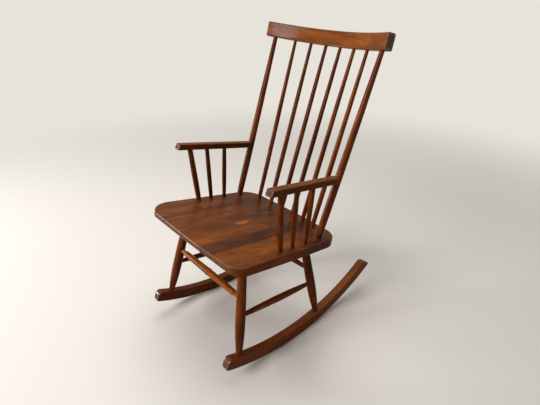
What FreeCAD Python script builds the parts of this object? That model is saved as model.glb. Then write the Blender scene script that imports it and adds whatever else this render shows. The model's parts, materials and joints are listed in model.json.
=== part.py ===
import FreeCAD, Part
import math
import os

import Sketcher
from FreeCAD import Placement, Rotation, Vector

# A rod-back rocking chair with a bent crest rail, a plank seat, splayed turned legs and two rockers.
# Everything is laid out on the bench with the seat level: X across the chair, Y from the front edge of the
# seat towards the back, Z up from the top of the seat. Then the whole chair is tipped back on its rockers
# until its centre of mass hangs straight under the middle of their arc, which is how it stands at rest.

# Driving sizes, in millimetres and degrees. A name that ends in Share is a part of the length it follows.
sizes = {
    # Seat
    "seatWidthFront": 518,
    "seatRearNarrowing": 30,
    "seatDepth": 489,
    "seatThick": 30,
    "seatFrontBow": 9,
    "seatRearBow": 8.5,
    "seatSideBow": 4,
    "seatFrontLeftCorner": 44,
    "seatFrontRightCorner": 86,
    "seatRearCorner": 70,
    "seatTopEase": 4,
    "seatBevelHeight": 14,
    "seatBevelRun": 24,
    # Crest rail, bent to one radius along its middle line
    "railBend": 528,
    "railWidth": 540,
    "railHeight": 51,
    "railThick": 26.5,
    "railRakeAngle": 4.6,
    "railEase": 3,
    "railBackRound": 6,
    "railRise": 613.5,
    "railPastSeat": 64,
    # Back posts, the two outer sticks
    "postSeatInset": 25.5,
    "postSeatSetIn": 94,
    "postRailInset": 30.5,
    "postFoot": 21,
    "postBelly": 25,
    "postBellyShare": 0.16,
    "postTip": 15.5,
    # Back spindles, six evenly spaced ones, with wider gaps beside the posts
    "spindleBaseGap": 71,
    "spindleTopGap": 76.3,
    "spindleSeatSetIn": 31.5,
    "spindleBaseBend": 690,
    "spindleFoot": 15.5,
    "spindleBelly": 17.6,
    "spindleBellyShare": 0.24,
    "spindleTip": 11.5,
    # Arms
    "armRise": 200,
    "armThick": 21,
    "armWidth": 29,
    "armFrontInset": 14.5,
    "armFrontSetIn": 102.5,
    "armNoseSetBack": 7,
    "armEase": 3,
    "armLip": 5,
    # Arm spindles, front to rear
    "armPostDiameter": 18.4,
    "armSpindleDiameter": 16.6,
    "armSpindleFoot": 13.5,
    "armPostTip": 16.5,
    "armSpindleTip": 15,
    "armSpindleBellyShare": 0.45,
    # Legs
    "legBelly": 33,
    "legBellyShare": 0.38,
    "legFoot": 20,
    "legHead": 25,
    "frontLegInset": 99,
    "frontLegSetIn": 118.5,
    "frontLegSplay": 12,
    "rearLegInset": 88.5,
    "rearLegSetIn": 93.5,
    "rearLegSplay": 86,
    # Stretchers
    "frontStretcherShare": 0.585,
    "rearStretcherShare": 0.595,
    "sideStretcherShare": 0.405,
    "stretcherEnd": 15,
    "stretcherBelly": 23,
    "frontStretcherCollar": 20.5,
    "frontStretcherBelly": 25,
    "frontStretcherBead": 27.5,
    "frontStretcherBeadWidth": 8,
    "frontStretcherPlainEnd": 22,
    "frontStretcherCollarSlope": 1.6,
    "scoreDepth": 0.9,
    "scoreWidth": 2.2,
    "scoreShare": 0.45,
    # Rockers, bars sawn to one radius
    "rockerRadius": 799.5,
    "rockerHeight": 39.5,
    "rockerWidth": 30,
    "rockerOutset": 54,
    "rockerToeAngle": 1.4,
    "rockerDrop": 412,
    "rockerCentreForward": 10,
    "rockerFrontReach": 187,
    "rockerRightToeExtra": 10,
    "rockerRearReach": 543.5,
    "rockerToeSetBack": 10,
    "rockerTailSetBack": 40,
    "rockerToeRound": 11,
    "rockerTailRound": 8,
    "rockerEndRound": 4,
    "rockerEase": 2.5,
    # Joints
    "socketDepth": 20,
    "armSocketDepth": 13,
    "railSocketDepth": 24,
    "socketSpare": 0.8,
    "glueGap": 0.15,
    "neck": 5,
    "copeGap": 0.25,
    "overrun": 14,
    "legSocketPast": 2,
    # Arm screws and the wood plugs over their heads
    "screwShank": 4,
    "screwHead": 8,
    "screwHeadThick": 3,
    "screwBite": 26,
    "plugLength": 5,
    "screwGap": 0.1,
}

# Shares along an arm where its three spindles stand, from the front end to the post, at seat and at arm
arm_spindle_seat_shares = (0.318, 0.488, 0.678)
arm_spindle_arm_shares = (0.167, 0.383, 0.618)
# How far in from the arm's line the same spindles meet the seat, as shares of the arm's width
arm_spindle_inset_shares = (0.37, 0.29, 0.2)

spindle_count = 6
arm_spindle_count = len(arm_spindle_seat_shares)
steel_to_wood_density_share = 11.5

doc = FreeCAD.newDocument("rocking_chair")
sheet = doc.addObject("Spreadsheet::Sheet", "Sizes")
for row, (alias, value) in enumerate(sizes.items(), start=1):
    sheet.set(f"A{row}", alias)
    sheet.set(f"B{row}", str(value))
    sheet.setAlias(f"B{row}", alias)
layout = doc.addObject("Spreadsheet::Sheet", "Layout")
doc.recompute()


def size(alias):
    """A driving size, read from the sheet."""
    return float(sheet.get(alias))


layout_rows = []


def keep_length(alias, value):
    """Writes a length that the layout works out into its own sheet and gives its expression."""
    layout_rows.append(alias)
    cell = f"B{len(layout_rows)}"
    layout.set(cell, repr(value))
    layout.setAlias(cell, alias)
    layout.recompute()
    return f"Layout.{alias}"


# Outline and body helpers

# The size of the circles that mark a spline's poles in a sketch, and how near two places count as one
pole_mark = 2
same_place = 0.0001
# The numbers by which a sketch knows a curve's start, end and centre, the origin and the two axes
curve_start, curve_end, curve_centre = range(1, 4)
origin, across_axis, upright_axis = -1, -1, -2


def new_body(label):
    body = doc.addObject("PartDesign::Body", label)
    body.Label = label
    return body


def origin_plane(body, role):
    return next(item for item in body.Origin.OriginFeatures if item.Role == role)


def new_sketch(body, name, plane):
    sketch = body.newObject("Sketcher::SketchObject", f"{body.Name}_{name}")
    sketch.AttachmentSupport = (origin_plane(body, plane), [""])
    sketch.MapMode = "FlatFace"
    return sketch


def bind(sketch, constraint, expression):
    """Adds a sketch constraint and ties its value to the sheets."""
    index = sketch.addConstraint(constraint)
    sketch.setExpression(f"Constraints[{index}]", expression)


def pin_point(sketch, geometry, point, x, y, x_expression, y_expression):
    """Fixes one end of a line or arc by its distances from the sketch's origin."""
    for value, expression, kind, axis in (
        (x, x_expression, "DistanceX", upright_axis),
        (y, y_expression, "DistanceY", across_axis),
    ):
        if expression == "0":
            sketch.addConstraint(Sketcher.Constraint("PointOnObject", geometry, point, axis))
        else:
            away = Sketcher.Constraint(kind, origin, curve_start, geometry, point, value)
            bind(sketch, away, expression)


def join_ends(sketch, first, second, first_point=curve_end, second_point=curve_start):
    sketch.addConstraint(Sketcher.Constraint("Coincident", first, first_point, second, second_point))


def straight_outline(sketch, corners):
    """Closes an outline of straight lines. A corner is (x, x expression, y, y expression)."""
    places = [Vector(x, y, 0) for x, _, y, _ in corners]
    following = places[1:] + places[:1]
    lines = [sketch.addGeometry(Part.LineSegment(*pair), False) for pair in zip(places, following)]
    for line, following_line in zip(lines, lines[1:] + lines[:1]):
        join_ends(sketch, line, following_line)
    for line, (x, x_expression, y, y_expression) in zip(lines, corners):
        pin_point(sketch, line, curve_start, x, y, x_expression, y_expression)


def swelling(sketch, start, end, way, start_binding, end_binding):
    """A parabola between two stations, as a three-pole spline that is upright at the belly's end."""
    bulge = max(start.x, end.x)
    belly_binding = end_binding if way == "rise" else start_binding
    middle = Vector(bulge, (start.y + end.y) / 2, 0)
    middle_height = f"(({start_binding[1]}) + ({end_binding[1]})) / 2"
    poles = (
        (start, start_binding[0], start_binding[1]),
        (middle, belly_binding[0], middle_height),
        (end, end_binding[0], end_binding[1]),
    )
    marks = []
    for place, x_expression, y_expression in poles:
        circle = Part.Circle(place, Vector(0, 0, 1), pole_mark)
        marks.append(sketch.addGeometry(circle, True))
    curve = Part.BSplineCurve([place for place, _, _ in poles], None, None, False, 2, None, False)
    spline = sketch.addGeometry(curve, False)
    for number, mark in enumerate(marks):
        alignment = "InternalAlignment:Sketcher::BSplineControlPoint"
        sketch.addConstraint(Sketcher.Constraint(alignment, mark, curve_centre, spline, number))
        sketch.addConstraint(Sketcher.Constraint("Weight", mark, 1.0))
    pin_point(sketch, marks[1], curve_centre, middle.x, middle.y, poles[1][1], poles[1][2])
    return spline


def turned_body(label, stations):
    """A lathe-turned piece about Z. A station is (height, height expression, radius, radius expression, way).

    The way says how the outline reaches the station from the one before: "line", "rise" for a swelling that
    is upright at the upper station, or "fall" for one that is upright at the lower station.
    """
    body = new_body(label)
    sketch = new_sketch(body, "profile", "XZ_Plane")
    axis_foot = (stations[0][0], stations[0][1], 0, "0", "line")
    axis_head = (stations[-1][0], stations[-1][1], 0, "0", "line")
    outline = [axis_foot, *stations, axis_head]
    pieces = []
    for lower, upper in zip(outline, outline[1:]):
        start = Vector(lower[2], lower[0], 0)
        end = Vector(upper[2], upper[0], 0)
        if upper[4] == "line":
            pieces.append(sketch.addGeometry(Part.LineSegment(start, end), False))
        else:
            bindings = (lower[3], lower[1]), (upper[3], upper[1])
            pieces.append(swelling(sketch, start, end, upper[4], *bindings))
    head_point, foot_point = Vector(0, outline[-1][0], 0), Vector(0, outline[0][0], 0)
    pieces.append(sketch.addGeometry(Part.LineSegment(head_point, foot_point), False))
    for piece, following in zip(pieces, pieces[1:] + pieces[:1]):
        join_ends(sketch, piece, following)
    for piece, station in zip(pieces, outline):
        pin_point(sketch, piece, curve_start, station[2], station[0], station[3], station[1])
    turning = body.newObject("PartDesign::Revolution", f"{label}_turning")
    turning.Profile = sketch
    turning.ReferenceAxis = (sketch, ["V_Axis"])
    turning.Angle = 360
    body.Tip = turning
    return body


def along(start, end):
    """The placement that lays local Z from one bench point to another, with local X off to one corner.

    Sockets come in from the sides, the front and the back, so the seam of a turned piece keeps clear of them.
    """
    corner = Vector(1, 1, 0)
    return Placement(start, Rotation(corner, Vector(), end - start, "ZXY"))


def bore(body, home, name, mouth, direction, radius_expression, depth_expression):
    """Drills a round socket into a body: mouth and direction are on the bench, home places the body there."""
    back = home.inverse()
    into = back.Rotation.multVec(direction).normalize()
    start = back.multVec(mouth) - into * size("overrun")
    drill = body.newObject("PartDesign::SubtractiveCylinder", f"{body.Name}_{name}")
    drill.Placement = Placement(start, Rotation(Vector(0, 0, 1), into))
    drill.setExpression("Radius", radius_expression)
    drill.setExpression("Height", f"{depth_expression} + Sizes.overrun")
    body.Tip = drill
    return drill


def edges_where(feature, wanted):
    """The names of a feature's edges that pass a test of their two ends and their middle."""
    names = []
    for number, edge in enumerate(feature.Shape.Edges, start=1):
        middle = edge.valueAt((edge.FirstParameter + edge.LastParameter) / 2)
        ends = [vertex.Point for vertex in edge.Vertexes]
        if wanted(ends, middle):
            names.append(f"Edge{number}")
    return names


def round_edges(body, name, wanted, radius_expression):
    """Rounds the chosen edges of a body's last feature."""
    doc.recompute()
    base = body.Tip
    names = edges_where(base, wanted)
    fillet = body.newObject("PartDesign::Fillet", f"{body.Name}_{name}")
    fillet.Base = (base, names)
    fillet.setExpression("Radius", radius_expression)
    body.Tip = fillet
    return fillet


def half(alias):
    return f"Sizes.{alias} / 2"


# Layout of the sticks on the bench

def seat_rear_width():
    return size("seatWidthFront") - size("seatRearNarrowing")


def rail_home():
    """The crest rail's frame: its underside, midway along, on the middle line of its thickness."""
    lean = Rotation(Vector(1, 0, 0), -size("railRakeAngle"))
    return Placement(Vector(0, size("seatDepth") + size("railPastSeat"), size("railRise")), lean)


def rail_point(x):
    """Where a stick meets the rail's underside, on its bent middle line."""
    bend = size("railBend")
    return rail_home().multVec(Vector(x, math.sqrt(bend ** 2 - x ** 2) - bend, 0))


def spindle_base(x):
    bend = size("spindleBaseBend")
    arc_y = size("seatDepth") - size("spindleSeatSetIn") - bend
    return Vector(x, arc_y + math.sqrt(bend ** 2 - x ** 2), 0)


def post_reach():
    """How far out the two posts stand from the middle, at the seat and at the rail."""
    at_seat = seat_rear_width() / 2 - size("postSeatInset")
    at_rail = size("railWidth") / 2 - size("postRailInset")
    return at_seat, at_rail


def post_line(side):
    at_seat, at_rail = post_reach()
    foot = Vector(side * at_seat, size("seatDepth") - size("postSeatSetIn"), 0)
    return foot, rail_point(side * at_rail)


def spindle_line(number):
    """A back spindle between the posts, counted from the right."""
    at_seat, at_rail = post_reach()
    share = 2 * number / (spindle_count - 1) - 1
    foot = spindle_base(share * (at_seat - size("spindleBaseGap")))
    return foot, rail_point(share * (at_rail - size("spindleTopGap")))


def arm_frame(side):
    """An arm's frame: on the post's middle line at the arm's underside, with Y from the front to the post."""
    foot, head = post_line(side)
    share = size("armRise") / (head.z - foot.z)
    heel = foot + (head - foot) * share
    nose_x = size("seatWidthFront") / 2 - size("armFrontInset")
    nose = Vector(side * nose_x, size("armFrontSetIn"), size("armRise"))
    return Placement(heel, Rotation(Vector(0, 1, 0), heel - nose)), (heel - nose).Length


def arm_spindle_line(side, number):
    frame, length = arm_frame(side)
    at_seat = frame.multVec(Vector(0, -length * (1 - arm_spindle_seat_shares[number]), 0))
    inset = side * size("armWidth") * arm_spindle_inset_shares[number]
    foot = Vector(at_seat.x - inset, at_seat.y, 0)
    return foot, frame.multVec(Vector(0, -length * (1 - arm_spindle_arm_shares[number]), 0))


def leg_heads():
    """Where the front and the rear legs meet the seat: how far out, and how far behind its front edge."""
    front = size("seatWidthFront") / 2 - size("frontLegInset"), size("frontLegSetIn")
    rear = seat_rear_width() / 2 - size("rearLegInset"), size("seatDepth") - size("rearLegSetIn")
    return {"front": front, "rear": rear}


def rocker_home(side):
    """A rocker's frame: the centre of its arc, with Y along the rocker towards the back."""
    spread = leg_heads()["front"][0] + size("rockerOutset")
    centre_y = size("seatDepth") / 2 - size("rockerCentreForward")
    centre_z = size("rockerRadius") - size("rockerDrop")
    place = Vector(side * spread, centre_y, centre_z)
    return Placement(place, Rotation(Vector(0, 0, 1), side * size("rockerToeAngle")))


def rocker_top(side, y):
    """The middle of a rocker's top face at a distance from the front of the seat."""
    home = rocker_home(side)
    run = (y - home.Base.y) / math.cos(math.radians(size("rockerToeAngle")))
    top_radius = size("rockerRadius") - size("rockerHeight")
    return home.multVec(Vector(0, run, -math.sqrt(top_radius ** 2 - run ** 2)))


def leg_line(side, end):
    """A leg from the rocker to the seat's underside. The front feet stand ahead of their heads, the rear behind."""
    out, back = leg_heads()[end]
    splay = size(f"{end}LegSplay") * (-1 if end == "front" else 1)
    return rocker_top(side, back + splay), Vector(side * out, back, -size("seatThick"))


def leg_point(side, end, share):
    foot, head = leg_line(side, end)
    return foot + (head - foot) * share


side_names = {-1: "right", 1: "left"}
parts = {}
homes = {}


def keep_part(body, home):
    parts[body.Label] = body
    homes[body.Label] = home


# Sticks: round tenons at both ends, a short plain neck, and a belly between

def stick(label, foot, head, foot_size, belly_size, head_size, belly_share, foot_depth, head_depth):
    length = (head - foot).Length
    length_expression = keep_length(f"{label}_length", length)
    belly = size(belly_share)
    belly_height = f"{length_expression} * Sizes.{belly_share}"
    stations = [
        (-size(foot_depth), f"-Sizes.{foot_depth}", size(foot_size) / 2, half(foot_size), "line"),
        (size("neck"), "Sizes.neck", size(foot_size) / 2, half(foot_size), "line"),
        (length * belly, belly_height, size(belly_size) / 2, half(belly_size), "rise"),
        (length - size("neck"), f"{length_expression} - Sizes.neck", size(head_size) / 2, half(head_size), "fall"),
        (length + size(head_depth), f"{length_expression} + Sizes.{head_depth}", size(head_size) / 2,
         half(head_size), "line"),
    ]
    body = turned_body(label, stations)
    keep_part(body, along(foot, head))
    return body


sockets = {"seat": [], "crest_rail": []}


def add_socket(owner, name, mouth, direction, diameter, depth):
    sockets.setdefault(owner, []).append((name, mouth, direction, diameter, depth))


def build_back_sticks():
    lines = []
    for number in range(spindle_count):
        lines.append((f"back_spindle_{number + 1}", "spindle", *spindle_line(number)))
    for side, word in side_names.items():
        lines.append((f"{word}_back_post", "post", *post_line(side)))
    for label, kind, foot, head in lines:
        stick(label, foot, head, f"{kind}Foot", f"{kind}Belly", f"{kind}Tip", f"{kind}BellyShare",
              "socketDepth", "railSocketDepth")
        add_socket("seat", label, foot, foot - head, f"{kind}Foot", "socketDepth")
        add_socket("crest_rail", label, head, head - foot, f"{kind}Tip", "railSocketDepth")


def build_arm_spindles():
    for side, word in side_names.items():
        for number in range(arm_spindle_count):
            foot, head = arm_spindle_line(side, number)
            belly = "armPostDiameter" if number == 0 else "armSpindleDiameter"
            tip_size = "armPostTip" if number == 0 else "armSpindleTip"
            label = f"{word}_arm_spindle_{number + 1}"
            stick(label, foot, head, "armSpindleFoot", belly, tip_size, "armSpindleBellyShare",
                  "socketDepth", "armSocketDepth")
            add_socket("seat", label, foot, foot - head, "armSpindleFoot", "socketDepth")
            add_socket(f"{word}_arm", label, head, head - foot, tip_size, "armSocketDepth")


def build_legs():
    for end in ("front", "rear"):
        for side, word in side_names.items():
            foot, head = leg_line(side, end)
            label = f"{end}_{word}_leg"
            stick(label, foot, head, "legFoot", "legBelly", "legHead", "legBellyShare",
                  "socketDepth", "socketDepth")
            add_socket(f"{word}_rocker", label, foot, foot - head, "legFoot", "socketDepth")
            add_socket("seat", label, head, head - foot, "legHead", "socketDepth")


def leg_radius_bound():
    return size("legBelly") / 2


def plain_stretcher(label, start, end):
    """A tapered stretcher between two legs' middle lines, thickest midway."""
    length = (end - start).Length
    length_expression = keep_length(f"{label}_length", length)
    leg_edge = leg_radius_bound() + size("neck")
    leg_edge_expression = "Sizes.legBelly / 2 + Sizes.neck"
    end_radius = size("stretcherEnd") / 2
    stations = [
        (0, "0", end_radius, half("stretcherEnd"), "line"),
        (leg_edge, leg_edge_expression, end_radius, half("stretcherEnd"), "line"),
        (length / 2, f"{length_expression} / 2", size("stretcherBelly") / 2, half("stretcherBelly"), "rise"),
        (length - leg_edge, f"{length_expression} - ({leg_edge_expression})", end_radius,
         half("stretcherEnd"), "fall"),
        (length, length_expression, end_radius, half("stretcherEnd"), "line"),
    ]
    keep_part(turned_body(label, stations), along(start, end))


def ringed_stretcher(label, start, end):
    """The front stretcher: plain ends, a collar, a scored line and a bead at the middle."""
    length = (end - start).Length
    length_expression = keep_length(f"{label}_length", length)
    plain = leg_radius_bound() + size("frontStretcherPlainEnd")
    plain_expression = "Sizes.legBelly / 2 + Sizes.frontStretcherPlainEnd"
    collar = plain + size("frontStretcherCollarSlope")
    collar_expression = f"{plain_expression} + Sizes.frontStretcherCollarSlope"
    bead = length / 2 - size("frontStretcherBeadWidth") / 2
    bead_expression = f"{length_expression} / 2 - Sizes.frontStretcherBeadWidth / 2"
    cut = size("scoreWidth")
    scored = collar + (bead - collar) * size("scoreShare")
    scored_expression = f"({collar_expression}) + (({bead_expression}) - ({collar_expression})) * Sizes.scoreShare"
    end_radius = size("stretcherEnd") / 2
    collar_radius = size("frontStretcherCollar") / 2
    belly_radius = size("frontStretcherBelly") / 2
    bead_radius = size("frontStretcherBead") / 2
    depth = size("scoreDepth")
    middle_radius = (collar_radius + belly_radius) / 2
    middle_expression = "(Sizes.frontStretcherCollar + Sizes.frontStretcherBelly) / 4"
    lower_half = [
        (0, "0", end_radius, half("stretcherEnd")),
        (plain, plain_expression, end_radius, half("stretcherEnd")),
        (collar, collar_expression, collar_radius, half("frontStretcherCollar")),
        (scored - cut / 2, f"{scored_expression} - Sizes.scoreWidth / 2", middle_radius, middle_expression),
        (scored, scored_expression, middle_radius - depth, f"{middle_expression} - Sizes.scoreDepth"),
        (scored + cut / 2, f"{scored_expression} + Sizes.scoreWidth / 2", middle_radius, middle_expression),
        (bead - cut, f"{bead_expression} - Sizes.scoreWidth", belly_radius, half("frontStretcherBelly")),
        (bead, bead_expression, belly_radius - depth, f"{half('frontStretcherBelly')} - Sizes.scoreDepth"),
    ]
    stations = [(*station, "line") for station in lower_half]
    stations.append((length / 2, f"{length_expression} / 2", bead_radius, half("frontStretcherBead"), "rise"))
    ways = ["fall"] + ["line"] * (len(lower_half) - 1)
    for way, (height, expression, radius, radius_expression) in zip(ways, reversed(lower_half)):
        mirrored = f"{length_expression} - ({expression})"
        stations.append((length - height, mirrored, radius, radius_expression, way))
    keep_part(turned_body(label, stations), along(start, end))


def build_stretchers():
    cross = (("front", "frontStretcherShare", ringed_stretcher), ("rear", "rearStretcherShare", plain_stretcher))
    for end, share, maker in cross:
        label = f"{end}_stretcher"
        points = {side: leg_point(side, end, size(share)) for side in side_names}
        maker(label, points[-1], points[1])
        for side, word in side_names.items():
            add_leg_socket(f"{end}_{word}_leg", label, points[side], points[side] - points[-side])
    for side, word in side_names.items():
        label = f"{word}_side_stretcher"
        front = leg_point(side, "front", size("sideStretcherShare"))
        rear = leg_point(side, "rear", size("sideStretcherShare"))
        plain_stretcher(label, front, rear)
        add_leg_socket(f"front_{word}_leg", label, front, front - rear)
        add_leg_socket(f"rear_{word}_leg", label, rear, rear - front)


leg_sockets = []


def add_leg_socket(leg, name, centre, direction):
    leg_sockets.append((leg, name, centre, direction))


def drill_legs():
    """Each stretcher's socket runs from outside the leg to just past the leg's middle line."""
    for leg, name, centre, direction in leg_sockets:
        body = parts[leg]
        mouth = centre - Vector(direction).normalize() * leg_radius_bound()
        bore(body, homes[leg], f"{name}_socket", mouth, direction,
             f"{half('stretcherEnd')} + Sizes.glueGap", "Sizes.legBelly / 2 + Sizes.legSocketPast")


def drill_sockets(owner):
    for name, mouth, direction, diameter, depth in sockets[owner]:
        bore(parts[owner], homes[owner], f"{name}_socket", mouth, direction,
             f"{half(diameter)} + Sizes.glueGap", f"Sizes.{depth} + Sizes.socketSpare")


# Seat: a plank with four bowed edges, rounded corners and a bevel under its front edge

def bowed_edge(sketch, start, end, bow_out):
    """A shallow arc between two corners that stands out in the middle. Gives its first and last point too."""
    arc = sketch.addGeometry(Part.Arc(start, (start + end) / 2 + bow_out, end), False)
    # An arc made through three points always runs anticlockwise, so its two ends are told apart by place
    both = curve_start, curve_end
    starts_there = (sketch.getPoint(arc, curve_start) - start).Length < same_place
    return (arc, *(both if starts_there else reversed(both)))


def build_seat():
    body = new_body("seat")
    sketch = new_sketch(body, "outline", "XY_Plane")
    front_bow = size("seatFrontBow")
    rear_bow = size("seatRearBow")
    side_bow = size("seatSideBow")
    front_x = size("seatWidthFront") / 2
    rear_x = seat_rear_width() / 2
    depth = size("seatDepth")
    front_right = Vector(-front_x, front_bow, 0)
    front_left = Vector(front_x, front_bow, 0)
    rear_left = Vector(rear_x, depth - rear_bow, 0)
    rear_right = Vector(-rear_x, depth - rear_bow, 0)
    front, front_first, front_last = bowed_edge(sketch, front_right, front_left, Vector(0, -front_bow, 0))
    left, left_first, left_last = bowed_edge(sketch, front_left, rear_left, Vector(side_bow, 0, 0))
    rear, rear_first, rear_last = bowed_edge(sketch, rear_left, rear_right, Vector(0, rear_bow, 0))
    right, right_first, right_last = bowed_edge(sketch, rear_right, front_right, Vector(-side_bow, 0, 0))
    join_ends(sketch, front, left, front_last, left_first)
    join_ends(sketch, left, rear, left_last, rear_first)
    join_ends(sketch, rear, right, rear_last, right_first)
    join_ends(sketch, right, front, right_last, front_first)
    front_half = half("seatWidthFront")
    rear_half = "(Sizes.seatWidthFront - Sizes.seatRearNarrowing) / 2"
    rear_y_expression = "Sizes.seatDepth - Sizes.seatRearBow"
    pin_point(sketch, left, left_first, front_x, front_bow, front_half, "Sizes.seatFrontBow")
    pin_point(sketch, left, left_last, rear_x, depth - rear_bow, rear_half, rear_y_expression)
    pin_point(sketch, right, right_first, -rear_x, depth - rear_bow, f"-{rear_half}", rear_y_expression)
    pin_point(sketch, right, right_last, -front_x, front_bow, f"-{front_half}", "Sizes.seatFrontBow")
    side_long = depth - rear_bow - front_bow
    side_square = (side_long ** 2 + (front_x - rear_x) ** 2) / 4
    side_long_expression = "(Sizes.seatDepth - Sizes.seatRearBow - Sizes.seatFrontBow)"
    side_square_expression = f"({side_long_expression} ^ 2 + Sizes.seatRearNarrowing ^ 2 / 4) / 4"
    for arc, half_square, half_square_expression, bow in (
        (front, front_x ** 2, f"({front_half}) ^ 2", "seatFrontBow"),
        (rear, rear_x ** 2, f"({rear_half}) ^ 2", "seatRearBow"),
        (left, side_square, side_square_expression, "seatSideBow"),
        (right, side_square, side_square_expression, "seatSideBow"),
    ):
        # An arc's radius from the square of half its chord and its bow
        radius = (half_square + size(bow) ** 2) / (2 * size(bow))
        expression = f"({half_square_expression} + Sizes.{bow} ^ 2) / (2 * Sizes.{bow})"
        bind(sketch, Sketcher.Constraint("Radius", arc, radius), expression)
    plank = body.newObject("PartDesign::Pad", "seat_plank")
    plank.Profile = sketch
    plank.setExpression("Length", "Sizes.seatThick")
    plank.Reversed = True
    body.Tip = plank
    middle_y = depth / 2
    half_thick = size("seatThick") / 2

    def upright(ends, middle):
        return abs(middle.z + half_thick) < same_place and abs(ends[0].z - ends[1].z) > half_thick

    def on_top(ends, middle):
        return all(abs(place.z) < same_place for place in (*ends, middle))

    round_edges(body, "front_left_corner", lambda ends, mid: upright(ends, mid) and mid.y < middle_y and mid.x > 0,
                "Sizes.seatFrontLeftCorner")
    round_edges(body, "front_right_corner", lambda ends, mid: upright(ends, mid) and mid.y < middle_y and mid.x < 0,
                "Sizes.seatFrontRightCorner")
    round_edges(body, "rear_corners", lambda ends, mid: upright(ends, mid) and mid.y > middle_y,
                "Sizes.seatRearCorner")
    cut_seat_bevel(body)
    round_edges(body, "top_ease", on_top, "Sizes.seatTopEase")
    keep_part(body, Placement())


def cut_seat_bevel(body):
    """Planes off the underside of the seat's front edge, straight across, so that the edge looks thin."""
    sketch = new_sketch(body, "bevel", "YZ_Plane")
    thick = size("seatThick")
    height = size("seatBevelHeight")
    run = size("seatBevelRun")
    over = size("overrun")
    slope = height / run
    # The cut's long side carries on past the front edge by the overrun, at the same slope
    corners = [
        (run, "Sizes.seatBevelRun", -thick, "-Sizes.seatThick"),
        (-over, "-Sizes.overrun", -thick, "-Sizes.seatThick"),
        (-over, "-Sizes.overrun", -thick + height + over * slope,
         "-Sizes.seatThick + Sizes.seatBevelHeight * (1 + Sizes.overrun / Sizes.seatBevelRun)"),
    ]
    straight_outline(sketch, corners)
    bevel = body.newObject("PartDesign::Pocket", "seat_bevel")
    bevel.Profile = sketch
    bevel.SideType = "Symmetric"
    bevel.setExpression("Length", "Sizes.seatWidthFront + Sizes.overrun")
    body.Tip = bevel


# Crest rail: a bar bent along an arc, cut square to the arc at its ends

def reach_across(sketch, arc, point, reach, expression):
    """Sets how far across from the sketch's origin an arc's end lies."""
    bind(sketch, Sketcher.Constraint("DistanceX", origin, curve_start, arc, point, reach), expression)


def arc_band(sketch, inner, outer, inner_angles, outer_angles):
    """Two arcs about the sketch's origin with a straight line across each end."""
    arcs = []
    for radius, angles in ((outer, outer_angles), (inner, inner_angles)):
        circle = Part.Circle(Vector(0, 0, 0), Vector(0, 0, 1), radius)
        arcs.append(sketch.addGeometry(Part.ArcOfCircle(circle, *angles), False))
        join_ends(sketch, arcs[-1], origin, curve_centre, curve_start)
    outer_arc, inner_arc = arcs
    lines = []
    for point, inner_angle, outer_angle in zip((curve_start, curve_end), inner_angles, outer_angles):
        ends = [Vector(math.cos(angle), math.sin(angle), 0) * radius
                for angle, radius in ((inner_angle, inner), (outer_angle, outer))]
        lines.append(sketch.addGeometry(Part.LineSegment(*ends), False))
        join_ends(sketch, lines[-1], inner_arc, curve_start, point)
        join_ends(sketch, lines[-1], outer_arc, curve_end, point)
    return outer_arc, inner_arc, lines


def build_rail():
    body = new_body("crest_rail")
    sketch = new_sketch(body, "bend", "XY_Plane")
    bend = size("railBend")
    thick = size("railThick")
    half_angle = math.asin(size("railWidth") / 2 / bend)
    outer, inner = bend + thick / 2, bend - thick / 2
    quarter = math.pi / 2
    angles = quarter - half_angle, quarter + half_angle
    outer_arc, inner_arc, ends = arc_band(sketch, inner, outer, angles, angles)
    for line in ends:
        sketch.addConstraint(Sketcher.Constraint("PointOnObject", origin, curve_start, line))
    bind(sketch, Sketcher.Constraint("Radius", outer_arc, outer), "Sizes.railBend + Sizes.railThick / 2")
    bind(sketch, Sketcher.Constraint("Radius", inner_arc, inner), "Sizes.railBend - Sizes.railThick / 2")
    outer_x = outer * math.sin(half_angle)
    outer_x_expression = "(1 + Sizes.railThick / 2 / Sizes.railBend) * Sizes.railWidth / 2"
    reach_across(sketch, outer_arc, curve_start, outer_x, outer_x_expression)
    reach_across(sketch, outer_arc, curve_end, -outer_x, f"-({outer_x_expression})")
    bar = body.newObject("PartDesign::Pad", "crest_rail_bar")
    bar.Profile = sketch
    bar.setExpression("Length", "Sizes.railHeight")
    body.Tip = bar
    height = size("railHeight")

    def back_and_up(place, below):
        return place.z > height - same_place - below and math.hypot(place.x, place.y) > bend

    def top_back(ends, middle):
        return all(back_and_up(place, 0) for place in (*ends, middle))

    def other_edge(ends, middle):
        # All but the two long seams where that rounding runs out
        long_edge = abs(ends[0].x - ends[1].x) > bend / 2
        return not (long_edge and back_and_up(middle, size("railBackRound")))

    round_edges(body, "back_round", top_back, "Sizes.railBackRound")
    round_edges(body, "ease", other_edge, "Sizes.railEase")
    home = rail_home()
    keep_part(body, home.multiply(Placement(Vector(0, -bend, 0), Rotation())))


# Rockers

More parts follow.
